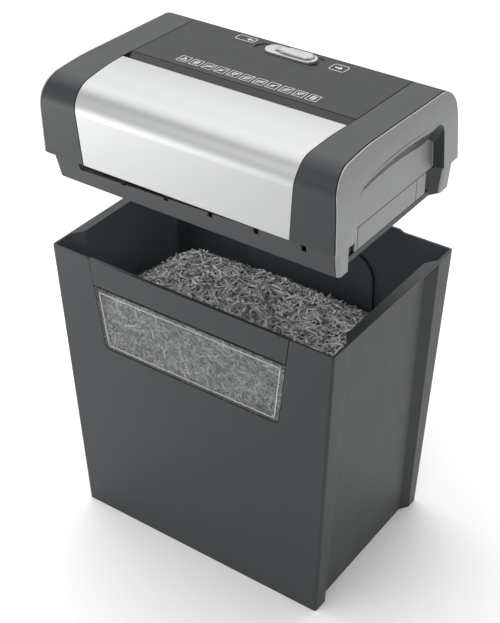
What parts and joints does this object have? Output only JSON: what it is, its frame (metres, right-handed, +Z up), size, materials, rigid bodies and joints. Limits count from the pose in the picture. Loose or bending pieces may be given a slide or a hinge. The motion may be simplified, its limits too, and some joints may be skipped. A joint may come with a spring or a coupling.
{
  "type": "paper shredder",
  "caption": "Desk-side paper shredder with a lift-off cutting head, a slide switch, a slim paper throat and a tapered waste bin with a front window.",
  "frame": {"origin": "centre of the bin's base, on the floor it stands on", "axes": "+Z up, -Y towards the user and the bin's window, +X to the user's right as they face the front"},
  "size_m": [0.3012, 0.2036, 0.4742],
  "materials": {
    "charcoal_plastic": "fine satin grain",
    "panel_plastic": "fine satin grain",
    "grey_plastic": "fine satin grain",
    "silver_paint": "satin silver paint",
    "cover_grey": "satin",
    "clear_plastic": "clear, polished",
    "paper": "cross-cut paper shreds",
    "sheet_steel": "zinc plated",
    "steel": "turned",
    "cutter_steel": "hardened, oiled",
    "brass": "sintered",
    "nylon": "natural",
    "black_plastic": "satin",
    "white_plastic": "satin",
    "board": "solder mask",
    "wire": "insulated wire",
    "rubber": "matte"
  },
  "bodies": {
    "bin": {"bin_body": "charcoal_plastic", "window_bridge": "charcoal_plastic", "window_pane": "clear_plastic", "shredded_paper": "paper"},
    "head": {"upper_shell": "charcoal_plastic", "control_panel": "panel_plastic", "front_panel": "silver_paint", "left_side_cover": "cover_grey", "right_side_cover": "cover_grey", "lower_housing": "grey_plastic", "front_throat_guide": "panel_plastic", "rear_throat_guide": "panel_plastic", "left_frame_plate": "sheet_steel", "right_frame_plate": "sheet_steel", "tie_rods": "steel", "frame_nuts": "steel", "shaft_bushes": "brass", "front_comb": "black_plastic", "rear_comb": "black_plastic", "gear_axles": "steel", "gearbox_cover": "black_plastic", "motor_body": "sheet_steel", "motor_screws": "steel", "circuit_board": "board", "board_components": "black_plastic", "wiring_harness": "wire", "cord_grommet": "rubber", "slide_switch_body": "black_plastic", "interlock_switch_body": "black_plastic", "interlock_spring": "steel", "sensor_body": "black_plastic", "sensor_pin": "steel", "housing_screws": "steel", "rubber_mounts": "rubber"},
    "front_cutter": {"front_cutter_shaft": "steel", "front_cutter_discs": "cutter_steel", "front_spacers": "steel", "front_sync_gear": "cutter_steel"},
    "rear_cutter": {"rear_cutter_shaft": "steel", "rear_cutter_discs": "cutter_steel", "rear_spacers": "steel", "rear_sync_gear": "cutter_steel", "main_drive_gear": "cutter_steel"},
    "second_gear": {"second_reduction_gear": "nylon"},
    "first_gear": {"first_reduction_gear": "nylon"},
    "rotor": {"motor_rotor_shaft": "steel", "motor_pinion": "brass"},
    "slider": {"switch_slider": "silver_paint"},
    "plunger": {"interlock_plunger": "white_plastic"},
    "lever": {"paper_sensor_lever": "white_plastic"}
  },
  "joints": [
    {"name": "head_lift", "type": "slide", "parent": "bin", "child": "head", "axis": [0, 0, 1], "range_m": [-0.094, 0.1]},
    {"name": "rear_cutter_spin", "type": "hinge", "parent": "head", "child": "rear_cutter", "pos_m": [0, -0.0155, 0.4133], "axis": [1, 0, 0], "continuous": true},
    {"name": "front_cutter_spin", "type": "hinge", "parent": "head", "child": "front_cutter", "pos_m": [0, -0.0415, 0.4133], "axis": [1, 0, 0], "continuous": true},
    {"name": "second_gear_spin", "type": "hinge", "parent": "head", "child": "second_gear", "pos_m": [0, 0.00893, 0.42219], "axis": [1, 0, 0], "continuous": true},
    {"name": "first_gear_spin", "type": "hinge", "parent": "head", "child": "first_gear", "pos_m": [0, 0.02887, 0.41289], "axis": [1, 0, 0], "continuous": true},
    {"name": "rotor_spin", "type": "hinge", "parent": "head", "child": "rotor", "pos_m": [0, 0.05349, 0.41724], "axis": [1, 0, 0], "continuous": true},
    {"name": "switch_slide", "type": "slide", "parent": "head", "child": "slider", "axis": [1, 0, 0], "range_m": [-0.009, 0.005]},
    {"name": "interlock_push", "type": "slide", "parent": "head", "child": "plunger", "axis": [0, 0, 1], "range_m": [0, 0.003], "stiffness_N_per_m": 300, "springref_m": -0.003, "deforming": ["interlock_spring"]},
    {"name": "paper_sensor_swing", "type": "hinge", "parent": "head", "child": "lever", "pos_m": [0, -0.036, 0.4593], "axis": [1, 0, 0], "range_deg": [-25, 0], "stiffness_Nm_per_rad": 0.005, "springref_deg": 8.59}
  ],
  "couplings": [
    {"joint": "front_cutter_spin", "follows": "rear_cutter_spin", "ratio": -1},
    {"joint": "second_gear_spin", "follows": "rear_cutter_spin", "ratio": -3.3333},
    {"joint": "first_gear_spin", "follows": "rear_cutter_spin", "ratio": 8.8889},
    {"joint": "rotor_spin", "follows": "rear_cutter_spin", "ratio": -28.148}
  ]
}
